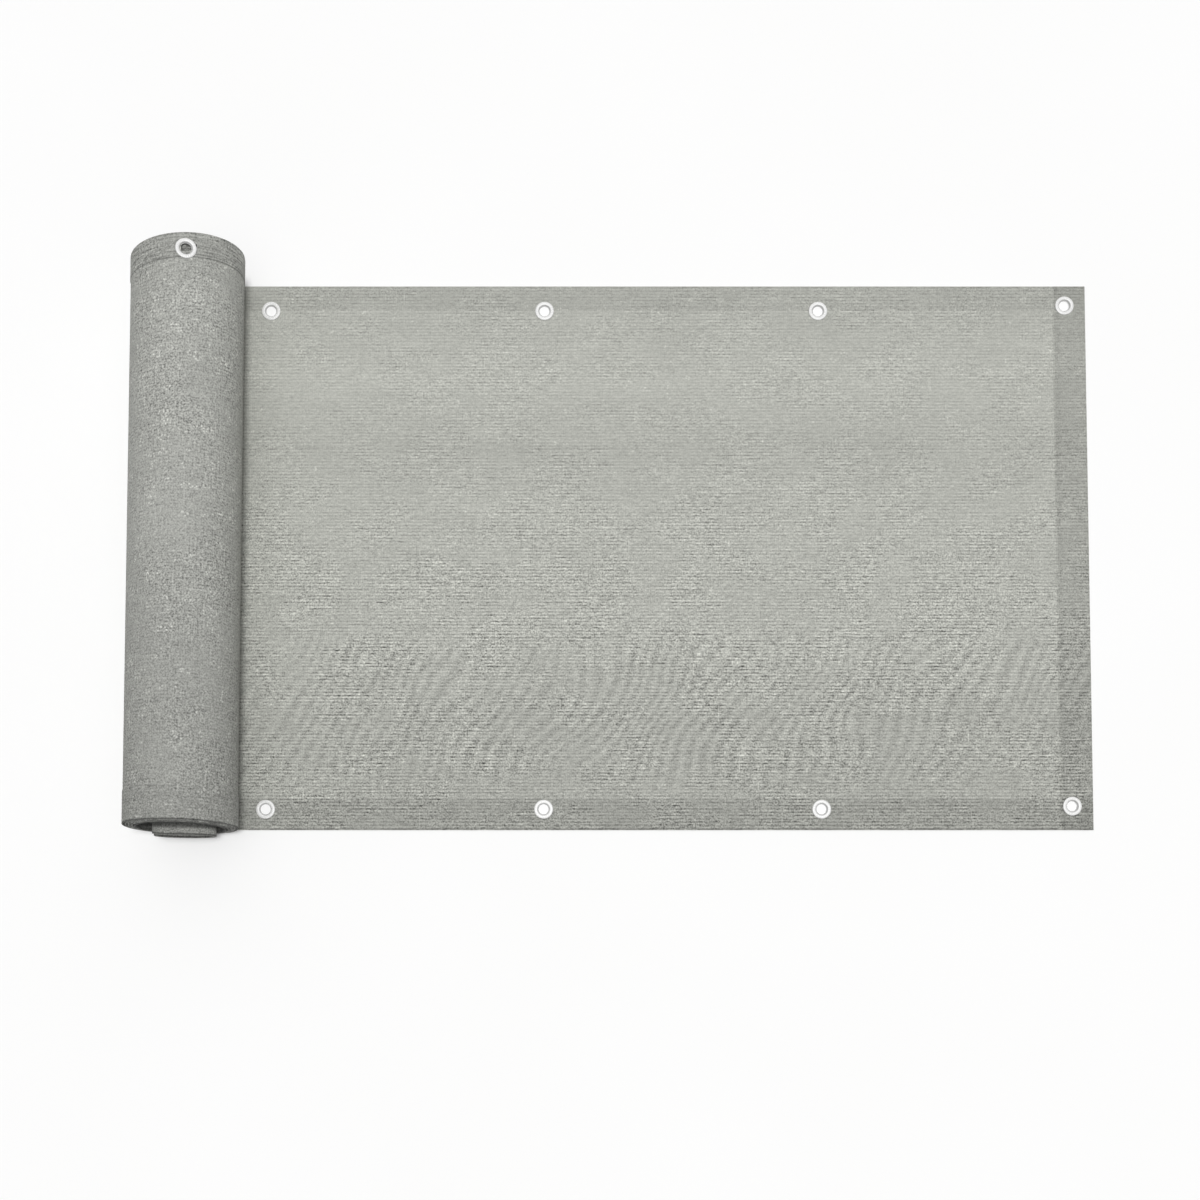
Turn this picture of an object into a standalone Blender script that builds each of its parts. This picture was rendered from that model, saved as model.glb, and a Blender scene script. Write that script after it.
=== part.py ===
"""A knitted balcony privacy screen, laid out flat with its far end rolled up. Metres, +Z up.

The cloth lies on the plane z = 0. +X runs along the screen, away from the roll, and +Y towards its top hem.
The origin is on that plane, in the middle of the screen's outline as it lies.
"""

import math

import bmesh
import bpy
from mathutils import Matrix

OBJECT = "balcony_privacy_screen"

# The cloth: a knit, folded over and sewn along its edges
WIDTH = 0.900
CLOTH = 0.0012
HEM = 0.0024
TOP_HEM = 0.037
BOTTOM_HEM = 0.0495
END_HEM = 0.0515
HEM_SLOPE = 0.0030
STRIP = 0.0609

# The knit's ribs run along the screen
RIBS = 170
RIB_DEPTH = 0.00025

# The flat run, from the line where the roll touches down to the end edge
FLAT_RUN = 1.4532

# The roll: an outer bundle of turns, with a looser coil lying inside it and standing out at the lower end
ROLL_R = 0.087
ROLL_STEPS = 64
HEM_PROUD = 0.0008
BUNDLE_WALL = 0.025
RIM_SOFT = 0.0015
COIL_R = 0.0485
COIL_WALL = 0.008
COIL_STEPS = 48
COIL_OUT = 0.013
COIL_LEAN = 0.0065
COIL_SINK = 0.0015
FLAT_DEPTH = 0.0012

# The bundle is wound a little askew. Its lower end stands out near the floor and leans back above it, and its upper
# end stands out past the flat run, more on the side that faces it
END_LEAN = 0.025
END_BASE = 0.007
BASE_RISE = 0.020
HIGH_OUT = 0.004
HIGH_REACH = 0.011

# How far the turns of the bundle stand out at each end, from the outermost third of its wall to the innermost:
# (at the lower end, at the upper end)
TURN_ENDS = ((0.0, 0.0), (0.0020, -0.0020), (0.0040, -0.0010))

# The eyelets: a rolled face on top, a flat flange underneath and a barrel through the cloth
EYELET_R = 0.0155
BORE_R = 0.008
BARREL_R = 0.0095
FLANGE = 0.0004
CLAMP = 0.0012
CROWN = 0.0016
EYELET_STEPS = 24

# The rolled face in section: (how far in from the rim, share of the crown's height), rim first
FACE_OUTSIDE = ((0.0003, 0.0), (0.0, 0.35), (0.0012, 0.78))
# and on towards the bore: (how far out from the bore, share of the crown's height)
FACE_INSIDE = ((0.0009, 0.78), (0.0, 0.3))
SEAT_SIDES = 32
CORNER_INSET = 0.034
CORNER_TO_NEXT = 0.408
EYELET_PITCH = 0.4525
FLAT_EYELETS = 4

# How far the eyelets' centres are from the edge: (the one at the corner, the others)
TOP_INSETS = (0.0325, 0.0415)
BOTTOM_INSETS = (0.039, 0.034)
ROLL_EYELET_INSET = 0.0195
ROLL_EYELET_TURN = math.radians(15.9)
ROLL_EYELET_SUNK = 0.0018

GAP = 0.0003
MERGE = 0.00005
REACH = 0.05
CLOTH_SHARP = 35
METAL_SHARP = 50

# Places that follow from the sizes above
RIB_PITCH = WIDTH / RIBS
END_X = (FLAT_RUN + ROLL_R) / 2
ROLL_X = END_X - FLAT_RUN
TOP_Y = (WIDTH + COIL_OUT - HIGH_REACH) / 2
BOTTOM_Y = TOP_Y - WIDTH
ROLL_Z = ROLL_R - FLAT_DEPTH
BUNDLE_IN_R = ROLL_R - BUNDLE_WALL
COIL_Z = ROLL_Z - (BUNDLE_IN_R - COIL_R) - COIL_SINK

SAGE = (0.43, 0.435, 0.405, 1.0)
SAGE_HEM = (0.37, 0.375, 0.345, 1.0)
BRIGHT_METAL = (0.82, 0.82, 0.80, 1.0)


def clear_scene():
    for obj in list(bpy.data.objects):
        bpy.data.objects.remove(obj, do_unlink=True)


def collection(name):
    made = bpy.data.collections.new(name)
    bpy.context.scene.collection.children.link(made)
    return made


def finish_material(name, colour, roughness, metallic):
    made = bpy.data.materials.new(name)
    made.use_nodes = True
    shader = made.node_tree.nodes["Principled BSDF"]
    shader.inputs["Base Color"].default_value = colour
    shader.inputs["Roughness"].default_value = roughness
    shader.inputs["Metallic"].default_value = metallic
    made.diffuse_color = colour
    return made


def mesh_object(name, bm, into):
    mesh = bpy.data.meshes.new(name)
    bm.to_mesh(mesh)
    bm.free()
    obj = bpy.data.objects.new(name, mesh)
    into.objects.link(obj)
    return obj


def turned(name, profile, steps, into):
    """A closed (radius, height) outline turned about Z. Its outer side runs from top to bottom."""
    bm = bmesh.new()
    points = [bm.verts.new((r, 0, z)) for r, z in profile]
    for a, b in zip(points, points[1:] + points[:1]):
        bm.edges.new((a, b))
    obj = mesh_object(name, bm, into)
    screw = obj.modifiers.new("turn", "SCREW")
    screw.steps = steps
    screw.render_steps = steps
    screw.use_merge_vertices = True
    screw.merge_threshold = MERGE
    return obj


def placed(obj, matrix):
    """The object as its modifiers leave it, with its place in its mesh."""
    bpy.context.view_layer.update()
    seen = obj.evaluated_get(bpy.context.evaluated_depsgraph_get())
    mesh = bpy.data.meshes.new_from_object(seen)
    mesh.transform(matrix)
    obj.modifiers.clear()
    obj.data = mesh
    return obj


def as_cutter(obj):
    obj.hide_render = True
    obj.display_type = "WIRE"
    return obj


def boolean(obj, operation, other):
    cut = obj.modifiers.new(operation.lower(), "BOOLEAN")
    cut.operation = operation
    cut.object = other
    cut.solver = "MANIFOLD"


def smooth(obj, degrees):
    obj.data.shade_smooth()
    obj.data.set_sharp_from_angle(angle=math.radians(degrees))


def cloth_height(x, depth, hem):
    """The top of the cloth at x, that far in from an edge whose hem is so wide: hem or one layer, less the ribs."""
    in_hem = x >= END_X - END_HEM or depth <= hem
    trough = (1 - math.cos(math.tau * depth / RIB_PITCH)) / 2
    return (HEM if in_hem else CLOTH) - RIB_DEPTH * trough


def rib_lines(start, end, hem_lines=()):
    """Depths of the ribs' crests and troughs between two depths, with a hem's lines in place of those they meet."""
    half = RIB_PITCH / 2
    ribs = [k * half for k in range(math.ceil(start / half), math.floor(end / half) + 1)]
    kept = (start, end, *hem_lines)
    return sorted([*kept, *(d for d in ribs if min(abs(d - k) for k in kept) > half / 2)])


def cloth_piece(name, depths, hem, place, material, into):
    """A piece of the flat run that spans the depths, from an edge inwards. place gives a depth its Y."""
    hem_x = END_X - END_HEM
    lines_x = (under_roll(HEM if hem else CLOTH), hem_x - HEM_SLOPE, hem_x, END_X)
    bm = bmesh.new()
    bmesh.ops.create_grid(bm, x_segments=len(lines_x) - 1, y_segments=len(depths) - 1, size=1)
    columns = sorted({round(v.co.x, 5) for v in bm.verts})
    rows = sorted({round(v.co.y, 5) for v in bm.verts})
    for v in bm.verts:
        x = lines_x[columns.index(round(v.co.x, 5))]
        depth = depths[rows.index(round(v.co.y, 5))]
        v.co = (x, place(depth), cloth_height(x, depth, hem))
    lower = bmesh.ops.extrude_face_region(bm, geom=bm.faces[:])
    underside = [g for g in lower["geom"] if isinstance(g, bmesh.types.BMFace)]
    for v in {v for f in underside for v in f.verts}:
        v.co.z = 0
    bmesh.ops.recalc_face_normals(bm, faces=bm.faces[:])
    obj = mesh_object(name, bm, into)
    obj.data.materials.append(material)
    return obj


def under_roll(thickness):
    """Where the flat run starts: as far under the roll as its thickness and a gap let it."""
    drop = ROLL_R - FLAT_DEPTH - thickness - GAP
    return ROLL_X + math.sqrt(ROLL_R**2 - drop**2)


def bundle_profile():
    """The bundle's wall in section, heights from its lower end: soft rims, hem bands and ends stepped by turn."""
    body_r = ROLL_R - HEM_PROUD
    outer = [
        (ROLL_R - RIM_SOFT, WIDTH),
        (ROLL_R, WIDTH - RIM_SOFT),
        (ROLL_R, WIDTH - TOP_HEM),
        (body_r, WIDTH - TOP_HEM - HEM_SLOPE),
        (body_r, BOTTOM_HEM + HEM_SLOPE),
        (ROLL_R, BOTTOM_HEM),
        (ROLL_R, RIM_SOFT),
        (ROLL_R - RIM_SOFT, 0),
    ]
    third = BUNDLE_WALL / len(TURN_ENDS)
    low = []
    high = []
    for i, (lower, upper) in enumerate(TURN_ENDS):
        near_r = ROLL_R - RIM_SOFT if i == 0 else ROLL_R - i * third
        far_r = ROLL_R - (i + 1) * third
        low += [(near_r, -lower), (far_r, -lower)]
        high += [(near_r, WIDTH + upper), (far_r, WIDTH + upper)]
    return outer + low[1:] + high[:0:-1]


def coil_profile():
    low = -COIL_OUT
    high = WIDTH - COIL_OUT
    in_r = COIL_R - COIL_WALL
    return [(COIL_R, high), (COIL_R, low), (in_r, low), (in_r, high)]


def along_y(x, z):
    """Lays a turned shape down, its height along +Y from the cloth's lower edge."""
    return Matrix.Translation((x, BOTTOM_Y, z)) @ Matrix.Rotation(math.radians(-90), 4, "X")


def roll_eyelet_place(sunk):
    """Square to the roll, past its top towards the flat run, and that far below its surface."""
    r = ROLL_R - sunk
    x = ROLL_X + r * math.sin(ROLL_EYELET_TURN)
    z = ROLL_Z + r * math.cos(ROLL_EYELET_TURN)
    turn = Matrix.Rotation(ROLL_EYELET_TURN, 4, "Y")
    return Matrix.Translation((x, TOP_Y - ROLL_EYELET_INSET, z)) @ turn


def bundle_askew(x, y, z):
    """How far the askew winding moves a point of the bundle along Y."""
    if y > (TOP_Y + BOTTOM_Y) / 2:
        facing = (x - ROLL_X) / (ROLL_R - RIM_SOFT)
        return min(z / ROLL_Z, 1) * (HIGH_OUT + (HIGH_REACH - HIGH_OUT) * facing)
    return END_LEAN * z / (2 * ROLL_R) - END_BASE * min(z / BASE_RISE, 1)


def coil_askew(z):
    """How far the coil's lower end leans back at that height."""
    return COIL_LEAN * (z - COIL_Z + COIL_R) / (2 * COIL_R)


def make_roll(parts, cutters, material):
    """The wound end: bundle and coil fused where the coil lies in it, flat where the roll rests."""
    roll = placed(turned("roll", bundle_profile(), ROLL_STEPS, parts), along_y(ROLL_X, ROLL_Z))
    for v in roll.data.vertices:
        v.co.y += bundle_askew(*v.co)
    coil = placed(turned("coil", coil_profile(), COIL_STEPS, cutters), along_y(ROLL_X, COIL_Z))
    for v in coil.data.vertices:
        if v.co.y < BOTTOM_Y:
            v.co.y += coil_askew(v.co.z)

    bm = bmesh.new()
    bmesh.ops.create_cube(bm, size=1)
    size = Matrix.Diagonal((4 * ROLL_R, WIDTH + 4 * REACH, REACH, 1))
    bmesh.ops.transform(bm, matrix=Matrix.Translation((ROLL_X, 0, -REACH / 2)) @ size, verts=bm.verts[:])
    floor = mesh_object("floor_cut", bm, cutters)

    bm = bmesh.new()
    seat_r = EYELET_R + GAP
    bmesh.ops.create_cone(
        bm, cap_ends=True, segments=SEAT_SIDES, radius1=seat_r, radius2=seat_r, depth=REACH,
        matrix=roll_eyelet_place(ROLL_EYELET_SUNK + GAP) @ Matrix.Translation((0, 0, REACH / 2)),
    )
    seat = mesh_object("roll_eyelet_seat", bm, cutters)

    boolean(roll, "UNION", as_cutter(coil))
    boolean(roll, "DIFFERENCE", as_cutter(floor))
    boolean(roll, "DIFFERENCE", as_cutter(seat))
    roll.data.materials.append(material)
    placed(roll, Matrix.Identity(4))
    smooth(roll, CLOTH_SHARP)


def eyelet_profile():
    """Rolled face, clamp gap for the cloth, and flange, as a closed outline."""
    seat = FLANGE + CLAMP
    crest = ((EYELET_R + BORE_R) / 2, seat + CROWN)
    outside = [(EYELET_R - inward, seat + CROWN * share) for inward, share in FACE_OUTSIDE]
    inside = [(BORE_R + outward, seat + CROWN * share) for outward, share in FACE_INSIDE]
    clamp = [(BARREL_R, seat), (BARREL_R, FLANGE)]
    flange = [(EYELET_R, FLANGE), (EYELET_R, 0), (BORE_R, 0)]
    return [crest, *outside[::-1], *clamp, *flange, *inside[::-1]]


def seat_cutter(name, x, y, cutters):
    """The room an eyelet takes in a strip: its flange below, its barrel through, its face above."""
    wide = EYELET_R + GAP
    narrow = BARREL_R + GAP
    pressed_low = FLANGE + GAP
    pressed_high = FLANGE + CLAMP - GAP
    profile = [
        (0, REACH), (wide, REACH), (wide, pressed_high), (narrow, pressed_high),
        (narrow, pressed_low), (wide, pressed_low), (wide, -REACH), (0, -REACH),
    ]
    cutter = placed(turned(name, profile, SEAT_SIDES, cutters), Matrix.Translation((x, y, 0)))
    bm = bmesh.new()
    bm.from_mesh(cutter.data)
    on_axis = [v for v in bm.verts if math.hypot(v.co.x - x, v.co.y - y) < MERGE]
    bmesh.ops.remove_doubles(bm, verts=on_axis, dist=MERGE)
    bmesh.ops.delete(bm, geom=[e for e in bm.edges if not e.link_faces], context="EDGES")
    bm.to_mesh(cutter.data)
    bm.free()
    return as_cutter(cutter)


def eyelet_x(i):
    """The eyelets' places along the flat run, counted from the corner."""
    corner = END_X - CORNER_INSET
    return corner if i == 0 else corner - CORNER_TO_NEXT - (i - 1) * EYELET_PITCH


def make_strip(side, insets, hem, place, parts, cutters, cloth, metal):
    """A hem strip of the flat run and the eyelets pressed through it."""
    depths = rib_lines(0, STRIP, (hem, hem + HEM_SLOPE))
    strip = cloth_piece(f"{side}_strip", depths, hem, place, cloth, parts)
    for i in range(FLAT_EYELETS):
        x = eyelet_x(i)
        y = place(insets[0] if i == 0 else insets[1])
        boolean(strip, "DIFFERENCE", seat_cutter(f"{side}_seat_{i + 1}", x, y, cutters))
        make_eyelet(f"{side}_eyelet_{i + 1}", Matrix.Translation((x, y, 0)), parts, metal)
    placed(strip, Matrix.Identity(4))
    smooth(strip, CLOTH_SHARP)


def make_eyelet(name, matrix, parts, metal):
    eyelet = placed(turned(name, eyelet_profile(), EYELET_STEPS, parts), matrix)
    eyelet.data.materials.append(metal)
    smooth(eyelet, METAL_SHARP)


def main():
    clear_scene()
    parts = collection(OBJECT)
    cutters = collection("cutters")

    make_roll(parts, cutters, finish_material("rolled_knit", SAGE, 0.85, 0.0))

    field_depths = rib_lines(STRIP + GAP, WIDTH - STRIP - GAP)
    cloth_piece(
        "flat_field", field_depths, 0, lambda depth: TOP_Y - depth,
        finish_material("flat_knit", SAGE, 0.85, 0.0), parts,
    )

    sides = (
        ("top", TOP_INSETS, TOP_HEM, lambda depth: TOP_Y - depth),
        ("bottom", BOTTOM_INSETS, BOTTOM_HEM, lambda depth: BOTTOM_Y + depth),
    )
    metal = finish_material("eyelet_metal", BRIGHT_METAL, 0.3, 1.0)
    for side, insets, hem, place in sides:
        cloth = finish_material(f"{side}_hem_knit", SAGE_HEM, 0.85, 0.0)
        make_strip(side, insets, hem, place, parts, cutters, cloth, metal)

    make_eyelet("roll_eyelet", roll_eyelet_place(ROLL_EYELET_SUNK), parts, metal)


main()
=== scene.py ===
"""The looks of a balcony privacy screen: a long knitted cloth, its hems and its eyelets. Metres, +Z up."""

import math

import bmesh
import bpy
from mathutils import Matrix, Vector


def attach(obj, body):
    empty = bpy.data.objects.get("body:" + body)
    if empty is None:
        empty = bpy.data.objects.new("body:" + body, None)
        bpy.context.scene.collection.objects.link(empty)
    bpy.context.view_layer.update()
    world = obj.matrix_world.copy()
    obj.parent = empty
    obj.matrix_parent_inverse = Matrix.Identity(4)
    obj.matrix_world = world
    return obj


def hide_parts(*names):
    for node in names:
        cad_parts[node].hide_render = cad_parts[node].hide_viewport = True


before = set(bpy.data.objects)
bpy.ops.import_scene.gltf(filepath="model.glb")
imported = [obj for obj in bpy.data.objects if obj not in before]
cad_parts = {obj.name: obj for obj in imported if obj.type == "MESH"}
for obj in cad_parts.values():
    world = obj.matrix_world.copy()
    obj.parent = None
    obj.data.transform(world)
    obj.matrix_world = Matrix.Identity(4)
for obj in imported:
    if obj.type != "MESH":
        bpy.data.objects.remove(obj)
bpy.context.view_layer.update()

# The cloth, as the part's source has it. A run is counted along it from its end edge, and a depth down it
# from its top edge. LOW_HEM is the depth where the bottom hem starts.
WIDTH = 0.900
CLOTH = 0.0012
HEM = 0.0024
TOP_HEM = 0.037
BOTTOM_HEM = 0.0495
END_HEM = 0.0515
HEM_SLOPE = 0.0030
HEM_PROUD = 0.0008
RIBS = 170
RIB_DEPTH = 0.00025
RIB_PITCH = WIDTH / RIBS
FLAT_RUN = 1.4532
LOW_HEM = WIDTH - BOTTOM_HEM

# Where a folded edge comes together, as a share of the thickness
FOLD_LOW = 0.4

# The roll: a bundle of turns, and a looser coil inside it that stands out at the lower end. A turn keeps its
# radius for a share of its way round, then steps in.
ROLL_R = 0.087
FLAT_DEPTH = 0.0012
TURNS = 5
TURN_STEP = 0.00452
STEP_IN = 0.56
TURN_OUT = 0.003
RIM_SOFT = 0.0015
COIL_TURNS = 2.3
COIL_STEP = 0.0028
COIL_OUT = 0.013
COIL_LEAN = 0.0065
COIL_Z = 0.0708

# The bundle is wound a little askew: its lower end stands out near the floor and leans back above it
END_LEAN = 0.025
END_BASE = 0.007
BASE_RISE = 0.020

# How far the bundle's upper end stands out at its middle, and how much further towards the flat cloth
HEM_OUT = 0.003
HEM_TILT = 0.0115

# How far the solid roll's upper end reaches past the flat cloth, which sets the middle of the part's outline
HIGH_REACH = 0.011

# The eyelets. The throat is the slope from an eyelet's face down into its bore.
EYELET_R = 0.0155
BORE_R = 0.008
BARREL_R = 0.0095
THROAT = 0.0020
FLANGE = 0.0004
CLAMP = 0.0012
CORNER_INSET = 0.034
CORNER_TO_NEXT = 0.408
EYELET_PITCH = 0.4525
FLAT_EYELETS = 4
TOP_INSETS = (0.0325, 0.0415)
BOTTOM_INSETS = (0.039, 0.034)
ROLL_EYELET_INSET = 0.0195
ROLL_EYELET_TURN = math.radians(15.9)
ROLL_EYELET_SUNK = 0.0018

# An eyelet's section, as (radius, height): rim, face, throat, bore, flange, and the groove for the cloth
SEAT = FLANGE + CLAMP
EYELET_OUTLINE = (
    (EYELET_R - 0.0001, SEAT), (EYELET_R, SEAT + 0.0003), (EYELET_R - 0.0002, SEAT + 0.0007),
    (EYELET_R - 0.0007, SEAT + 0.0011), (EYELET_R - 0.0015, SEAT + 0.0014),
    (EYELET_R - 0.0026, SEAT + 0.0015), (BORE_R + THROAT + 0.0010, SEAT + 0.0014),
    (BORE_R + THROAT, SEAT + 0.0010), (BORE_R + THROAT / 2, SEAT - 0.0001), (BORE_R + 0.0004, SEAT - 0.0007),
    (BORE_R, SEAT - 0.0010), (BORE_R, FLANGE), (BORE_R + 0.0002, 0.0001), (BORE_R + 0.0005, 0),
    (EYELET_R - 0.0003, 0), (EYELET_R, 0.0002), (EYELET_R - 0.0002, FLANGE),
    (BARREL_R, FLANGE), (BARREL_R, SEAT - 0.0006),
)

# How the flat cloth is pressed together round an eyelet, and how it puckers there
PRESSED = (EYELET_R - 0.0010, EYELET_R + 0.0026)
PUCKER_ROOM = 3 * EYELET_R
PUCKER_REACH = 0.009
PUCKER_HEIGHT = 0.00022
PUCKER_WAVES = 7
PUCKER_TURN = 40

# How far out the rolled cloth slopes down to its eyelet's seat, and how clear metal and cloth stay
SEAT_SLOPE = 0.0045
CLEAR = 0.00008

# Places that follow from the sizes above
END_X = (FLAT_RUN + ROLL_R) / 2
ROLL_X = END_X - FLAT_RUN
TOP_Y = (WIDTH + COIL_OUT - HIGH_REACH) / 2
ROLL_Z = ROLL_R - FLAT_DEPTH
BUNDLE_SHRINK = TURN_STEP / math.tau
BUNDLE_TURN = TURNS * math.tau
BUNDLE_LENGTH = ROLL_R * BUNDLE_TURN - BUNDLE_SHRINK * BUNDLE_TURN**2 / 2
COIL_SHRINK = COIL_STEP / math.tau
COIL_TURN = COIL_TURNS * math.tau
COIL_START_R = COIL_Z - (ROLL_Z - (ROLL_R - TURNS * TURN_STEP))
COIL_LENGTH = COIL_START_R * COIL_TURN - COIL_SHRINK * COIL_TURN**2 / 2
FIRST_TURN = ROLL_R * math.tau - BUNDLE_SHRINK * math.tau**2 / 2
ROLLED_RUN = BUNDLE_LENGTH + COIL_LENGTH

# How finely the pieces are divided
EYELET_ROOM = 0.0210
CLOSE_STEP = 0.0026
WIDE_STEP = 0.030
TURN_SIDES = 84
INNER_SIDES = 56
INNER_ROW = 0.040
SOFT_EDGE = 0.0008
HOLE_CUT = 0.0115
EYELET_STEPS = 64
SHARP = math.radians(50)
ROUNDING = 1e-6

# The knit's colours at twice the plain tone, and its tone down the cloth: (depth, share of the plain tone).
# Ramps and mixes hold no more than 1, so they are given half of a tone.
HALF = 0.5
FLAT_COLOUR = (0.866, 0.876, 0.804)
ROLLED_COLOUR = (0.764, 0.772, 0.722)
FLAT_TONES = (
    (0.0, 0.98), (0.07, 0.99), (0.15, 1.06), (0.27, 0.96),
    (0.36, 1.01), (0.56, 0.99), (0.72, 0.89), (0.90, 0.87),
)
ROLLED_TONES = ((0.0, 1.0), (0.45, 0.97), (0.62, 0.88), (0.90, 0.80))
KNIT_ROUGHNESS = 0.86

# Lines along the cloth: (depth, reach, share darker, whether it comes and goes)
FLAT_LINES = (
    (TOP_HEM + 0.0005, 0.0017, 0.10, False),
    (0.098, 0.0022, -0.07, True),
    (0.271, 0.0030, 0.08, True),
    (0.519, 0.0030, 0.09, True),
    (LOW_HEM - 0.0010, 0.0017, 0.12, False),
    (WIDTH - 0.0325, 0.0014, 0.14, True),
    (WIDTH - 0.0015, 0.0022, 0.30, True),
)
ROLLED_LINES = (
    (TOP_HEM + 0.0010, 0.0020, 0.48, False),
    (0.519, 0.0040, 0.12, True),
    (LOW_HEM - 0.0014, 0.0021, 0.12, True),
    (WIDTH - 0.0325, 0.0016, 0.12, True),
)

# Where they come and go: (clouds in a metre, their row, detail, the cloud that starts one, and that fills it)
LINE_BREAKS = (14, 3.3, 3.0, 0.35, 0.60)

# Clouds, lighter and darker: (in a metre along the cloth, in a metre down it, seed, detail, strength)
FLAT_GRAIN = ((46, 270, 1.7, 2.0, 0.6), (130, 270, 7.3, 2.0, 1.3), (390, 390, 5.1, 2.0, 2.6))
FLAT_MOTTLE = (8, 26, 9.2, 3.0, 0.16)
ROLLED_GRAIN = ((360, 360, 5.1, 2.0, 2.5), (120, 260, 1.7, 2.0, 0.5), (280, 70, 3.9, 2.0, 0.8))
ROLLED_MOTTLE = (12, 12, 9.2, 3.0, 0.18)
STROKES = (30, 400, 7.9, 2.0, 1.0)

# Patches: (in a metre along the cloth, in a metre down it, seed, detail, the cloud that starts one, and that
# fills it)
FLAT_PATCHES = (11, 16, 2.3, 2.0, 0.34, 0.62)
RIB_DASHES = (26, 120, 3.7, 2.0, 0.40, 0.62)
ROLLED_PATCHES = (14, 14, 2.3, 2.0, 0.34, 0.62)
INSIDE_SHADE_PATCHES = (55, 240, 1.1, 2.0, 0.36, 0.60)

# Painted glints, small points of painted highlight: (in a metre, crowds in a metre, the cloud that starts a
# crowd, and that fills it, strength). A glint is whole and gone at these shares of its room.
FLAT_GLINTS = (170, 60, 0.62, 0.72, 0.35)
ROLLED_GLINTS = (170, 45, 0.56, 0.66, 0.6)
GLINT_SEED = 6.1
GLINT_SIZE = (0.10, 0.36)

# The loops along each rib
LOOP_PITCH = 0.0034
LOOP_SWAY = 1.4
LOOP_TONE = 0.05

# The flat cloth's ribs: how strong they are, how much more in a dash, the least of it in a quiet patch and at
# the top, and the depths between which it grows
FLAT_RIBS = (0.10, 0.22)
FLAT_LEAST = 0.55
GROWS = (0.20, 0.62)

# The rolled cloth's ribs and strokes: how strong they are, how much more in the top hem, and the least of it
# in a quiet patch
ROLLED_RIBS = (0.05, 0.09)
ROLLED_STROKES = (0.5, 1.3)
ROLLED_LEAST = 0.6

# The knit's relief: its height, the bump's strength, (its middle, the loops' share), and the share of each
# cloth's grain
LOOP_RELIEF = 0.0004
BUMP = 0.35
RELIEF = (0.5, 0.1)
FLAT_GRAIN_RELIEF = 0.4
ROLLED_GRAIN_RELIEF = 0.3

# The watery pattern in the flat cloth's lower half. Its room is the depths where it starts and where it ends.
FLAME = 0.10
FLAME_PITCH = 0.023
FLAME_LEAN = 0.55
FLAME_BEND = 6.5
FLAME_WARP = (5.0, 5.0, 8.8, 1.0)
FLAME_ROOM = ((0.55, 0.62), (0.80, 0.84))
FLAME_PATCHES = (3.1, 3.0, 4.4, 1.0, 0.38, 0.58)
FLAME_LEAST = 0.5

# The hems' soft edges, as offsets from the top hem's edge and the bottom hem's, the end hem's edge, the seam
# there as (run, reach), and the share darker of each
FLAT_HEM_EDGES = ((-0.0008, 0.0012), (-0.0012, 0.0008))
ROLLED_HEM_EDGES = ((-0.0008, 0.0010), (-0.0010, 0.0008))
END_HEM_EDGE = (END_HEM - 0.0010, END_HEM + 0.0020)
END_SEAM = (END_HEM - 0.004, 0.008)
FLAT_HEMS_DARKER = (0.085, 0.165)
ROLLED_HEMS_DARKER = (0.14, 0.07)
END_HEM_DARKER = 0.18
END_SEAM_DARKER = 0.07

# The painted shade at the roll's lower end, along the outer turn's rim, on the inner turns and more on the
# deepest, on the coil where the bundle covers it, and in the coil's mouth: the runs or depths where each
# starts and is whole, the lines as (depth, reach), and the share darker of each
INSIDE = (FLAT_RUN + FIRST_TURN - 0.01, FLAT_RUN + FIRST_TURN + 0.01)
COILED = (FLAT_RUN + BUNDLE_LENGTH + 0.05, FLAT_RUN + BUNDLE_LENGTH + 0.12)
DEEP = (FLAT_RUN + 0.68 * BUNDLE_LENGTH, FLAT_RUN + 0.86 * BUNDLE_LENGTH)
COVERED = (WIDTH - 0.016, WIDTH - 0.0095)
RIM_LINE = (WIDTH - 0.0006, 0.0022)
MOUTH_LINE = (WIDTH - 0.0018, 0.0028)
CLOTH_RIM_SHADE = 0.65
INSIDE_SHADE = 0.50
DEEP_SHADE = 0.65
COVERED_SHADE = 0.70
MOUTH_SHADE = 0.70

# The eyelets' metal: the cloud of its wear and of the throat's painted shade as (scale, detail), its
# roughness and the throat's painted shade as (least, more where that cloud is high), the throat as (radius,
# reach), and the rim's painted shade as the radii where it starts and is whole, and its share darker
METAL_COLOUR = (0.97, 0.97, 0.96)
METALLIC = 0.30
WEAR_AND_SHADE = (700.0, 3.0)
METAL_ROUGHNESS = (0.16, 0.2)
THROAT_BAND = (BORE_R + 0.6 * THROAT, 0.8 * THROAT)
THROAT_PAINTED_SHADE = (0.10, 0.6)
RIM_BAND = (EYELET_R - 0.0006, EYELET_R)
RIM_PAINTED_SHADE = 0.25

# The studio
FLOOR_SIZE = 6
FLOOR_GAP = 0.0003
FLOOR_COLOURS = ((0.94, 0.94, 0.935), (0.96, 0.96, 0.96))
FLOOR_CLOUDS = 2.0
FLOOR_ROUGHNESS = 0.9
BLACK = (0, 0, 0)
WHITE = (1, 1, 1)
BACKDROP = 0.93

# The sky's light: (strength, how narrow) from overhead and from beyond the top hem, and the rest all round
SKY_UP = (1.15, 8.0)
SKY_BEYOND = (0.5, 3.0)
SKY_ALL = 0.14

# The lamps: (name, strength, width in degrees, the way to it)
SUNS = (("overhead", 2.0, 13, (0.22, 0.03, 1)), ("fill", 0.10, 30, (-1, 0.1, 0.5)))

# The camera, at the photograph's viewing angle
CAMERA_PLACE = (-0.0326, -0.4441, 1.915)
CAMERA_TILT = math.radians(2.297)
CAMERA_LENS = 35.266
CAMERA_SENSOR = 36
CAMERA_SHIFT = 0.15

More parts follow.
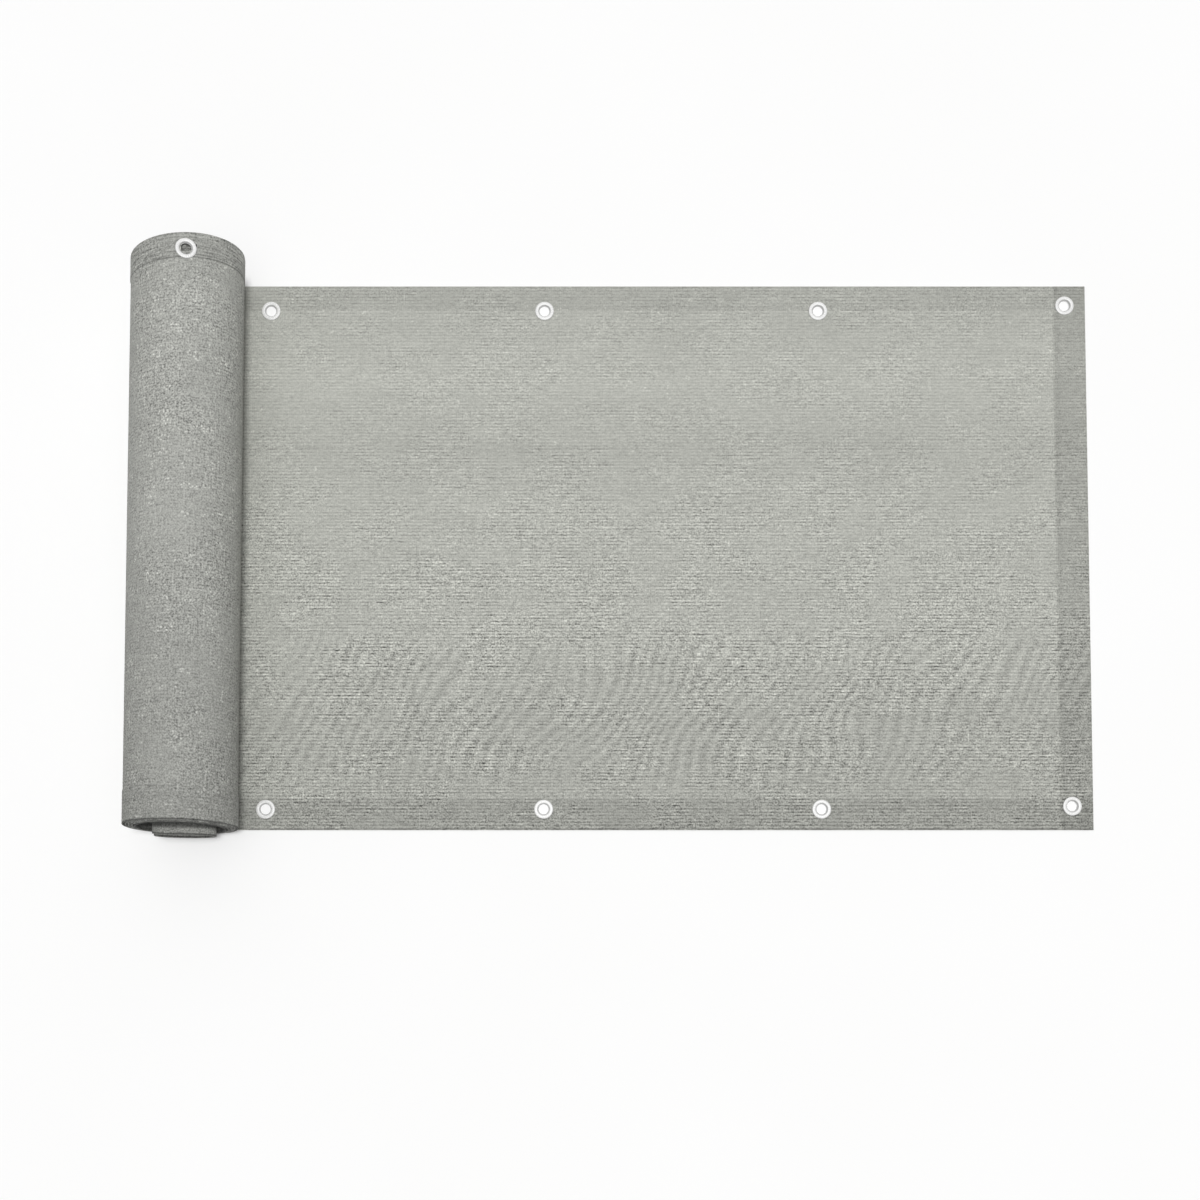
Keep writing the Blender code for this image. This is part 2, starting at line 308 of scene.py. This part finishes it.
# Blender's numbers for a colour mix's sockets, which share their names with others
MIX_FROM, MIX_TO, MIXED = 6, 7, 2


def smooth_step(start, end, x):
    """0 at start, 1 at end, with a soft rise between."""
    t = min(max((x - start) / (end - start), 0.0), 1.0)
    return t * t * (3 - 2 * t)


def spread(start, end, step):
    """Values from start to end, evenly spread, no more than a step apart."""
    count = max(1, math.ceil((end - start) / step - ROUNDING))
    return [start + (end - start) * i / count for i in range(count + 1)]


def thinned(values, gap):
    """The values in order, without any that is closer than the gap to the one before it."""
    kept = []
    for value in sorted(values):
        if not kept or value - kept[-1] > gap:
            kept.append(value)
    return kept


def eyelet_run(i):
    """How far an eyelet of the flat run is from the end edge, counted from the corner."""
    return CORNER_INSET if i == 0 else CORNER_INSET + CORNER_TO_NEXT + (i - 1) * EYELET_PITCH


def flat_eyelets():
    """(name, run, depth) of each eyelet of the flat run."""
    for i in range(FLAT_EYELETS):
        corner = 0 if i == 0 else 1
        yield f"top_eyelet_{i + 1}", eyelet_run(i), TOP_INSETS[corner]
        yield f"bottom_eyelet_{i + 1}", eyelet_run(i), WIDTH - BOTTOM_INSETS[corner]


def hem_share(run, depth):
    """1 in the doubled hems, 0 in the single cloth, and a slope between."""
    along = 1 - smooth_step(END_HEM, END_HEM + HEM_SLOPE, run)
    top = 1 - smooth_step(TOP_HEM, TOP_HEM + HEM_SLOPE, depth)
    bottom = 1 - smooth_step(BOTTOM_HEM, BOTTOM_HEM + HEM_SLOPE, WIDTH - depth)
    return max(along, top, bottom)


def rib_trough(depth):
    """0 on a rib's crest and 1 between two ribs."""
    return (1 - math.cos(math.tau * depth / RIB_PITCH)) / 2


def edge_share(run, depth):
    """0 on a folded edge and 1 inside it, where the cloth has its whole thickness."""
    inward = min(run, depth, WIDTH - depth)
    return smooth_step(-SOFT_EDGE / 2, SOFT_EDGE, inward)


def flat_heights(run, depth, eyelets):
    """The underside and the top of the flat run there: ribbed on top, and pressed together at each eyelet."""
    hem = hem_share(run, depth)
    thick = CLOTH + (HEM - CLOTH) * hem - RIB_DEPTH * rib_trough(depth)
    edge = edge_share(run, depth)
    low = thick * FOLD_LOW * (1 - edge)
    high = thick * (1 - FOLD_LOW + FOLD_LOW * edge)
    for centre in eyelets:
        away = math.hypot(run - centre[0], depth - centre[1])
        if away < PUCKER_ROOM:
            pressed = 1 - smooth_step(*PRESSED, away)
            angle = math.atan2(depth - centre[1], run - centre[0])
            pucker = math.exp(-(((away - EYELET_R) / PUCKER_REACH) ** 2)) * PUCKER_HEIGHT
            high += pucker * math.sin(PUCKER_WAVES * angle + PUCKER_TURN * centre[0]) * (1 - pressed)
            low += (FLANGE + CLEAR - low) * pressed
            high += (FLANGE + CLAMP - CLEAR - high) * pressed
    return low, high


def rolled_heights(run, depth, eyelet):
    """The outer and the inner face of a turn there, inward from the line that the turn winds on.

    It is ribbed on the outside, and flat and pressed together at the eyelet."""
    hem = hem_share(run, depth)
    proud = HEM_PROUD * (1 - hem)
    edge = edge_share(run, depth)
    thick = CLOTH + (HEM - CLOTH) * hem
    outer = proud + RIB_DEPTH * rib_trough(depth) + FOLD_LOW * thick * (1 - edge)
    inner = proud + thick * (1 - FOLD_LOW + FOLD_LOW * edge)
    away = math.hypot(run - eyelet[0], depth - eyelet[1])
    pressed = 1 - smooth_step(EYELET_R, EYELET_R + SEAT_SLOPE, away)
    flat = ROLL_EYELET_SUNK - FLANGE - (run - eyelet[0]) ** 2 / (2 * ROLL_R)
    outer += (flat - CLAMP + CLEAR - outer) * pressed
    inner += (flat - CLEAR - inner) * pressed
    return outer, inner


def turn_at(length, radius, shrink):
    """How far round a winding is after a length of cloth."""
    return (radius - math.sqrt(radius**2 - 2 * shrink * length)) / shrink


def lie_flat(run, depth, height):
    return Vector((END_X - run, TOP_Y - depth, height))


def bundle_askew(x, z, depth):
    """How far the askew winding moves a point of the bundle along Y, from one way at the top hem to another
    at the bottom hem."""
    facing = (x - ROLL_X) / (ROLL_R - RIM_SOFT)
    high = min(z / ROLL_Z, 1) * (HEM_OUT + HEM_TILT * facing)
    low = END_LEAN * z / (2 * ROLL_R) - END_BASE * min(z / BASE_RISE, 1)
    share = min(max((LOW_HEM - depth) / (LOW_HEM - TOP_HEM), 0), 1)
    return share * high + (1 - share) * low


def coil_askew(z, depth):
    """How far the coil's lower end leans back at that height."""
    lean = COIL_LEAN * (z - COIL_Z + COIL_START_R) / (2 * COIL_START_R)
    return lean * smooth_step(LOW_HEM, WIDTH, depth)


def wind(run, depth, height, low):
    """A point of the rolled run: round the bundle first, then round the coil that lies in it."""
    length = run - FLAT_RUN
    if length > BUNDLE_LENGTH:
        turn = turn_at(length - BUNDLE_LENGTH, COIL_START_R, COIL_SHRINK)
        radius, centre_z = COIL_START_R - COIL_SHRINK * turn, COIL_Z
        coiled = smooth_step(0, math.pi, turn)
        out = TURN_OUT + (COIL_OUT - TURN_OUT) * coiled
    else:
        turn = turn_at(length, ROLL_R, BUNDLE_SHRINK)
        whole, part = divmod(turn / math.tau, 1)
        radius, centre_z = ROLL_R - TURN_STEP * (whole + smooth_step(STEP_IN, 1, part)), ROLL_Z
        coiled = 0
        out = TURN_OUT * turn / BUNDLE_TURN
    x = ROLL_X - (radius - height) * math.sin(turn)
    z = max(centre_z - (radius - height) * math.cos(turn), height - low)
    askew = (1 - coiled) * bundle_askew(x, z, depth) + coiled * coil_askew(z, depth)
    return Vector((x, TOP_Y - depth - out + askew, z))


def add_cut(bm, runs, depths):
    """Adds a flat cut of cloth, with a line across it at each run and a line along it at each depth."""
    made = bmesh.ops.create_grid(bm, x_segments=len(runs) - 1, y_segments=len(depths) - 1, size=1)
    for v in made["verts"]:
        i = round((v.co.x + 1) / 2 * (len(runs) - 1))
        j = round((v.co.y + 1) / 2 * (len(depths) - 1))
        v.co = (runs[i], depths[j], 0)


def paint_map(bm, name, place_of):
    """Adds a map of that name, with each corner's place on it."""
    layer = bm.loops.layers.uv.new(name)
    for face in bm.faces:
        for loop in face.loops:
            loop[layer].uv = place_of(loop.vert.co)


def cloth_piece(name, bm, holes, heights, place, material):
    """The flat cuts in bm, with their holes and two sides, laid or wound where they go."""
    punched = [
        face for face in bm.faces
        if any((face.calc_center_median().xy - Vector(hole)).length < HOLE_CUT for hole in holes)
    ]
    bmesh.ops.delete(bm, geom=punched, context="FACES")
    back = bmesh.ops.extrude_face_region(bm, geom=bm.faces[:])
    under = {g for g in back["geom"] if isinstance(g, bmesh.types.BMVert)}
    paint_map(bm, "weave", lambda co: co.xy)
    for v in bm.verts:
        run, depth = v.co.xy
        low, high = heights(run, depth)
        v.co = place(run, depth, low if v in under else high, low)
    bmesh.ops.recalc_face_normals(bm, faces=bm.faces[:])
    return finished(name, bm, material)


def new_object(name, bm, material):
    mesh = bpy.data.meshes.new(name)
    bm.to_mesh(mesh)
    bm.free()
    mesh.materials.append(material)
    made = bpy.data.objects.new(name, mesh)
    bpy.context.scene.collection.objects.link(made)
    return made


def finished(name, bm, material):
    piece = new_object(name, bm, material)
    piece.data.shade_smooth()
    piece.data.set_sharp_from_angle(angle=SHARP)
    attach(piece, "root")
    return piece


def rib_depths():
    """A line on each rib's crest and trough, with the hems' lines in place of those that they meet."""
    hem_lines = [
        0, SOFT_EDGE, TOP_HEM, TOP_HEM + HEM_SLOPE, LOW_HEM - HEM_SLOPE, LOW_HEM, WIDTH - SOFT_EDGE, WIDTH,
    ]
    half = RIB_PITCH / 2
    ribs = [k * half for k in range(2 * RIBS + 1)]
    return sorted([*hem_lines, *(d for d in ribs if min(abs(d - k) for k in hem_lines) > half / 2)])


def make_flat_cloth(material):
    eyelets = [(run, depth) for _, run, depth in flat_eyelets()]
    runs = [0, SOFT_EDGE, END_HEM, END_HEM + HEM_SLOPE / 2, END_HEM + HEM_SLOPE]
    last = 0
    for i in range(FLAT_EYELETS):
        near = max(eyelet_run(i) - EYELET_ROOM, SOFT_EDGE)
        far = eyelet_run(i) + EYELET_ROOM
        runs += spread(last, near, WIDE_STEP) + spread(near, far, CLOSE_STEP)
        last = far
    runs += spread(last, FLAT_RUN, WIDE_STEP)
    bm = bmesh.new()
    add_cut(bm, thinned(runs, SOFT_EDGE / 2), rib_depths())
    cloth = cloth_piece(
        "flat_cloth", bm, eyelets, lambda run, depth: flat_heights(run, depth, eyelets),
        lambda run, depth, height, low: lie_flat(run, depth, height), material,
    )
    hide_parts("flat_field", "top_strip", "bottom_strip")
    return cloth


def make_rolled_cloth(material):
    centre = roll_eyelet_place().translation
    eyelet = (
        FLAT_RUN + ROLL_R * (math.pi + ROLL_EYELET_TURN),
        TOP_Y - centre.y + bundle_askew(centre.x, centre.z, ROLL_EYELET_INSET),
    )
    outer = spread(FLAT_RUN, FLAT_RUN + FIRST_TURN, FIRST_TURN / TURN_SIDES)
    outer += spread(eyelet[0] - EYELET_ROOM, eyelet[0] + EYELET_ROOM, CLOSE_STEP)
    inner = spread(FLAT_RUN + FIRST_TURN, FLAT_RUN + ROLLED_RUN, FIRST_TURN / INNER_SIDES)
    inner_depths = [
        0, SOFT_EDGE, TOP_HEM, TOP_HEM + HEM_SLOPE,
        *spread(TOP_HEM + INNER_ROW, WIDTH - 2 * INNER_ROW, INNER_ROW),
        LOW_HEM - HEM_SLOPE, LOW_HEM, WIDTH - SOFT_EDGE, WIDTH,
    ]
    bm = bmesh.new()
    add_cut(bm, thinned(outer, SOFT_EDGE), rib_depths())
    add_cut(bm, inner, inner_depths)
    cloth = cloth_piece(
        "rolled_cloth", bm, [eyelet], lambda run, depth: rolled_heights(run, depth, eyelet), wind, material,
    )
    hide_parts("roll")
    return cloth


def make_eyelet(name, node, place, material):
    bm = bmesh.new()
    points = [bm.verts.new((radius, 0, height)) for radius, height in EYELET_OUTLINE]
    edges = [bm.edges.new(pair) for pair in zip(points, points[1:] + points[:1])]
    bmesh.ops.spin(
        bm, geom=points + edges, cent=(0, 0, 0), axis=(0, 0, 1), angle=math.tau, steps=EYELET_STEPS,
        use_merge=True,
    )
    bmesh.ops.recalc_face_normals(bm, faces=bm.faces[:])
    paint_map(bm, "turned", lambda co: (co.xy.length, co.z))
    bmesh.ops.transform(bm, matrix=place, verts=bm.verts[:])
    eyelet = finished(name, bm, material)
    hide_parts(node)
    return eyelet


def roll_eyelet_place():
    radius = ROLL_R - ROLL_EYELET_SUNK
    x = ROLL_X + radius * math.sin(ROLL_EYELET_TURN)
    z = ROLL_Z + radius * math.cos(ROLL_EYELET_TURN)
    return Matrix.Translation((x, TOP_Y - ROLL_EYELET_INSET, z)) @ Matrix.Rotation(ROLL_EYELET_TURN, 4, "Y")


class Wire:
    """A node's socket. Python's operators on it add the Math nodes that do the sum."""

    def __init__(self, finish, socket):
        self.finish = finish
        self.socket = socket

    def __add__(self, other):
        return self.finish.math("ADD", self, other)

    __radd__ = __add__

    def __sub__(self, other):
        return self.finish.math("SUBTRACT", self, other)

    def __rsub__(self, other):
        return self.finish.math("SUBTRACT", other, self)

    def __mul__(self, other):
        return self.finish.math("MULTIPLY", self, other)

    __rmul__ = __mul__

    def __truediv__(self, other):
        return self.finish.math("DIVIDE", self, other)

    def __rtruediv__(self, other):
        return self.finish.math("DIVIDE", other, self)

    def __pow__(self, other):
        return self.finish.math("POWER", self, other)


def at_least(least, share):
    """The share, raised so that its 0 is the least and its 1 stays 1."""
    return least + (1 - least) * share


class Finish:
    """The nodes of a material or of the studio's sky."""

    def __init__(self, owner, shader="Principled BSDF"):
        owner.use_nodes = True
        self.owner = owner
        self.tree = owner.node_tree
        self.shader = self.tree.nodes[shader]

    def add(self, kind, settings, inputs, output=0):
        node = self.tree.nodes.new(kind)
        for key, value in settings.items():
            if key == "stops":
                self.set_stops(node.color_ramp, value)
            else:
                setattr(node, key, value)
        for key, value in inputs.items():
            self.feed(node.inputs[key], value)
        return Wire(self, node.outputs[output])

    def feed(self, socket, value):
        if isinstance(value, Wire):
            self.tree.links.new(value.socket, socket)
        else:
            socket.default_value = value

    def set_stops(self, ramp, stops):
        while len(ramp.elements) < len(stops):
            ramp.elements.new(0.5)
        for element, (position, grey) in zip(ramp.elements, stops):
            element.position = position
            element.color = (grey, grey, grey, 1)

    def use(self, **inputs):
        for name, value in inputs.items():
            self.feed(self.shader.inputs[name.replace("_", " ")], value)

    def math(self, operation, *values):
        return self.add("ShaderNodeMath", {"operation": operation}, dict(enumerate(values)))

    def sine(self, value):
        return self.math("SINE", value)

    def over_zero(self, value):
        return self.math("MAXIMUM", value, 0.0)

    def between(self, value, start, end):
        """0 at start and below, 1 at end and above, with a soft rise between."""
        return self.add(
            "ShaderNodeMapRange", {"interpolation_type": "SMOOTHSTEP"},
            {"Value": value, "From Min": start, "From Max": end},
        )

    def near(self, value, place, reach):
        """1 at the place, falling to 0 at the reach on either side."""
        return 1 - self.between(self.math("ABSOLUTE", value - place), 0.0, reach)

    def mix(self, share, start, end):
        """The colour from start to end by the share."""
        colours = {0: share, MIX_FROM: (*start, 1), MIX_TO: (*end, 1)}
        return self.add("ShaderNodeMix", {"data_type": "RGBA"}, colours, MIXED)

    def coordinates(self, output):
        return self.add("ShaderNodeTexCoord", {}, {}, output)

    def part_of(self, vector, output):
        return self.add("ShaderNodeSeparateXYZ", {}, {0: vector}, output)

    def painted(self, name):
        """A map's two places at a point: see paint_map."""
        uv = self.add("ShaderNodeUVMap", {"uv_map": name}, {})
        return [self.part_of(uv, output) for output in ("X", "Y")]

    def point(self, along, down, seed=0.0):
        return self.add("ShaderNodeCombineXYZ", {}, {0: along, 1: down, 2: seed})

    def noise(self, place, scale, detail):
        """Clouds of about 0 to 1."""
        return self.add("ShaderNodeTexNoise", {}, {"Vector": place, "Scale": scale, "Detail": detail})

    def knit_noise(self, run, depth, along, down, seed, detail):
        return self.noise(self.point(run * along, depth * down, seed), 1.0, detail)

    def grain(self, run, depth, *layers):
        """Clouds on top of each other, lighter and darker: see FLAT_GRAIN."""
        total = 0.0
        for *cloud, strength in layers:
            total = total + (self.knit_noise(run, depth, *cloud) - 0.5) * strength
        return total

    def patches(self, run, depth, kind):
        """Soft patches from 0 to 1: see FLAT_PATCHES."""
        *cloud, start, end = kind
        return self.between(self.knit_noise(run, depth, *cloud), start, end)

    def waves(self, run, depth):
        """The knit's ribs down it and its loops along it, each from -1 to 1."""
        rib = self.sine(depth * (math.tau / RIB_PITCH) + math.pi / 2)
        return rib, self.sine(run * (math.tau / LOOP_PITCH) + rib * LOOP_SWAY)

    def hems(self, depth, edges):
        """Two masks: one is 1 in the top hem, and the other is 1 in the bottom hem."""
        (top_start, top_end), (low_start, low_end) = edges
        top = 1 - self.between(depth, TOP_HEM + top_start, TOP_HEM + top_end)
        return top, self.between(depth, LOW_HEM + low_start, LOW_HEM + low_end)

    def tones(self, depth, stops):
        """The plain tone down the cloth: see FLAT_TONES."""
        halves = [(place / WIDTH, share * HALF) for place, share in stops]
        return self.add("ShaderNodeValToRGB", {"stops": halves}, {0: depth / WIDTH}) / HALF

    def lines(self, run, depth, lines):
        """The share of light that the cloth's lines leave: see FLAT_LINES."""
        along, row, detail, start, end = LINE_BREAKS
        come_and_go = self.between(self.noise(self.point(run * along, row), 1.0, detail), start, end)
        left = 1.0
        for place, reach, darker, broken in lines:
            line = self.near(depth, place, reach) * darker
            left = left * (1 - (line * come_and_go if broken else line))
        return left

    def painted_glints(self, run, depth, kind):
        """Painted glints: small points of painted highlight, in loose crowds, as their table gives them."""
        scale, crowds, start, end, strength = kind
        cell = self.add(
            "ShaderNodeTexVoronoi", {"voronoi_dimensions": "2D"},
            {"Vector": self.point(run, depth), "Scale": scale},
        )
        crowd = self.patches(run, depth, (crowds, crowds, GLINT_SEED, 1.0, start, end))
        return (1 - self.between(cell, *GLINT_SIZE)) * crowd * strength

    def knit(self, tone, colour, relief):
        """A matt yarn of that colour, with its tone and its loops' relief."""
        bump = {"Strength": BUMP, "Distance": LOOP_RELIEF, "Height": relief}
        self.use(
            Base_Color=self.mix(tone * HALF, BLACK, colour), Normal=self.add("ShaderNodeBump", {}, bump),
            Roughness=KNIT_ROUGHNESS,
        )
        return self.owner


def flat_knit_finish():
    """The single cloth: sage knit, its ribs broken into dashes that grow stronger towards the lower hem."""
    f = Finish(bpy.data.materials.new("flat_knit"))
    run, depth = f.painted("weave")
    rib, loop = f.waves(run, depth)
    plain, dashed = FLAT_RIBS
    strength = at_least(FLAT_LEAST, f.patches(run, depth, FLAT_PATCHES))
    strength = strength * at_least(FLAT_LEAST, f.between(depth, *GROWS))
    ribs = rib * (plain + dashed * f.patches(run, depth, RIB_DASHES))
    grain = strength * (ribs + f.grain(run, depth, *FLAT_GRAIN))

    hem_top, hem_low = f.hems(depth, FLAT_HEM_EDGES)
    hem_end = 1 - f.between(run, *END_HEM_EDGE)
    top_darker, low_darker = FLAT_HEMS_DARKER
    hems = (1 - top_darker * hem_top) * (1 - low_darker * hem_low)
    hems = hems * (1 - END_HEM_DARKER * hem_end) * (1 - END_SEAM_DARKER * f.near(run, *END_SEAM))

    warp = f.knit_noise(run, depth, *FLAME_WARP) * FLAME_BEND
    flame = f.sine((warp + (run - FLAME_LEAN * depth) / FLAME_PITCH) * math.tau)
    room_top, room_low = FLAME_ROOM
    flame_room = f.between(depth, *room_top) * (1 - f.between(depth, *room_low))
    flame = flame * flame_room * at_least(FLAME_LEAST, f.patches(run, depth, FLAME_PATCHES))

    look = 1 + grain + LOOP_TONE * loop + f.grain(run, depth, FLAT_MOTTLE) + FLAME * flame
    # Painted glints: small points of painted highlight
    look = look + f.painted_glints(run, depth, FLAT_GLINTS)
    tone = f.tones(depth, FLAT_TONES) * hems * f.lines(run, depth, FLAT_LINES) * look
    middle, looped = RELIEF
    return f.knit(tone, FLAT_COLOUR, middle + FLAT_GRAIN_RELIEF * grain + looped * loop)


def rolled_knit_finish():
    """The wound cloth: close turns that nothing pale shows through, with fine specks and painted glints,
    painted shade at its lower end, and ribs in its hem.
    """
    f = Finish(bpy.data.materials.new("rolled_knit"))
    run, depth = f.painted("weave")
    rib, loop = f.waves(run, depth)
    hem_top, hem_low = f.hems(depth, ROLLED_HEM_EDGES)
    plain_rib, hem_rib = ROLLED_RIBS
    plain_stroke, hem_stroke = ROLLED_STROKES
    ribs = rib * (plain_rib + hem_rib * hem_top)
    strokes = f.grain(run, depth, STROKES) * (plain_stroke + hem_stroke * hem_top)
    strength = at_least(ROLLED_LEAST, f.patches(run, depth, ROLLED_PATCHES))
    grain = strength * (ribs + strokes + f.grain(run, depth, *ROLLED_GRAIN))

    # Painted shade at the lower end: the outer turn's rim, the inner turns, the coil under the bundle, and
    # its mouth
    inside = f.between(run, *INSIDE)
    coiled = f.between(run, *COILED)
    deep = f.between(run, *DEEP)
    covered = 1 - f.between(depth, *COVERED)
    uneven_shade = f.patches(run, depth, INSIDE_SHADE_PATCHES)
    painted_shade = (
        (1 - CLOTH_RIM_SHADE * f.near(depth, *RIM_LINE) * (1 - inside))
        * (1 - INSIDE_SHADE * uneven_shade * inside * (1 - coiled))
        * (1 - DEEP_SHADE * deep * (1 - coiled))
        * (1 - COVERED_SHADE * covered * coiled)
        * (1 - MOUTH_SHADE * f.near(depth, *MOUTH_LINE) * coiled)
    )
    top_darker, low_darker = ROLLED_HEMS_DARKER
    hems = (1 - top_darker * hem_top) * (1 - low_darker * hem_low)
    look = 1 + grain + LOOP_TONE * loop + f.grain(run, depth, ROLLED_MOTTLE)
    # Painted glints: small points of painted highlight
    look = look + f.painted_glints(run, depth, ROLLED_GLINTS)
    tone = f.tones(depth, ROLLED_TONES) * hems * painted_shade * f.lines(run, depth, ROLLED_LINES) * look
    middle, looped = RELIEF
    return f.knit(tone, ROLLED_COLOUR, middle + ROLLED_GRAIN_RELIEF * grain + looped * loop)


def metal_finish():
    """Bright pressed metal, with painted shade in the eyelets' throats and on their rims."""
    f = Finish(bpy.data.materials.new("bright_metal"))
    radius, _ = f.painted("turned")
    wear_and_shade = f.noise(f.coordinates("Object"), *WEAR_AND_SHADE)
    even, more_shade = THROAT_PAINTED_SHADE
    # Painted shade in the throat, deeper where the wear cloud is high, and on the rim
    throat = f.near(radius, *THROAT_BAND) * (even + more_shade * wear_and_shade)
    bright = 1 - throat - RIM_PAINTED_SHADE * f.between(radius, *RIM_BAND)
    smooth, rougher = METAL_ROUGHNESS
    f.use(Base_Color=f.mix(bright, BLACK, METAL_COLOUR), Metallic=METALLIC, Roughness=smooth + wear_and_shade * rougher)
    return f.owner


def floor_finish():
    f = Finish(bpy.data.materials.new("studio_floor"))
    cloud = f.add("ShaderNodeTexNoise", {}, {"Vector": f.coordinates("Object"), "Scale": FLOOR_CLOUDS})
    f.use(Base_Color=f.mix(cloud, *FLOOR_COLOURS), Roughness=FLOOR_ROUGHNESS)
    return f.owner


def make_floor():
    bm = bmesh.new()
    bmesh.ops.create_grid(bm, x_segments=1, y_segments=1, size=FLOOR_SIZE)
    bmesh.ops.translate(bm, vec=(0, 0, -FLOOR_GAP), verts=bm.verts[:])
    floor = new_object("studio_floor", bm, floor_finish())


def make_sun(name, strength, width, toward):
    data = bpy.data.lights.new(name, "SUN")
    data.energy = strength
    data.angle = math.radians(width)
    lamp = bpy.data.objects.new(name, data)
    lamp.rotation_euler = Vector(toward).to_track_quat("Z", "Y").to_euler()
    lamp.visible_glossy = False
    bpy.context.scene.collection.objects.link(lamp)


def make_lights():
    """A broad soft light overhead, a low one beyond the top hem, two lamps, and a pale backdrop."""
    world = bpy.data.worlds.new("studio")
    bpy.context.scene.world = world
    f = Finish(world, "Background")
    way = f.coordinates("Generated")
    light = SKY_ALL
    for output, (strength, narrow) in (("Z", SKY_UP), ("Y", SKY_BEYOND)):
        light = light + strength * f.over_zero(f.part_of(way, output)) ** narrow
    seen = f.add("ShaderNodeLightPath", {}, {}, "Is Camera Ray")
    f.use(Color=(*WHITE, 1), Strength=light * (1 - seen) + BACKDROP * seen)
    for lamp in SUNS:
        make_sun(*lamp)


def make_camera():
    data = bpy.data.cameras.new("camera")
    data.lens = CAMERA_LENS
    data.sensor_width = CAMERA_SENSOR
    data.shift_y = CAMERA_SHIFT
    camera = bpy.data.objects.new("camera", data)
    camera.location = CAMERA_PLACE
    camera.rotation_euler = (CAMERA_TILT, 0, 0)
    bpy.context.scene.collection.objects.link(camera)
    bpy.context.scene.camera = camera


def main():
    bpy.context.scene.view_settings.view_transform = "Standard"
    make_camera()
    make_lights()
    make_floor()

    metal = metal_finish()
    rings = [
        make_eyelet(f"ring_{node}", node, Matrix.Translation(lie_flat(run, depth, 0)), metal)
        for node, run, depth in flat_eyelets()
    ]
    roll_ring = make_eyelet("ring_roll_eyelet", "roll_eyelet", roll_eyelet_place(), metal)

    make_flat_cloth(flat_knit_finish())
    make_rolled_cloth(rolled_knit_finish())


main()
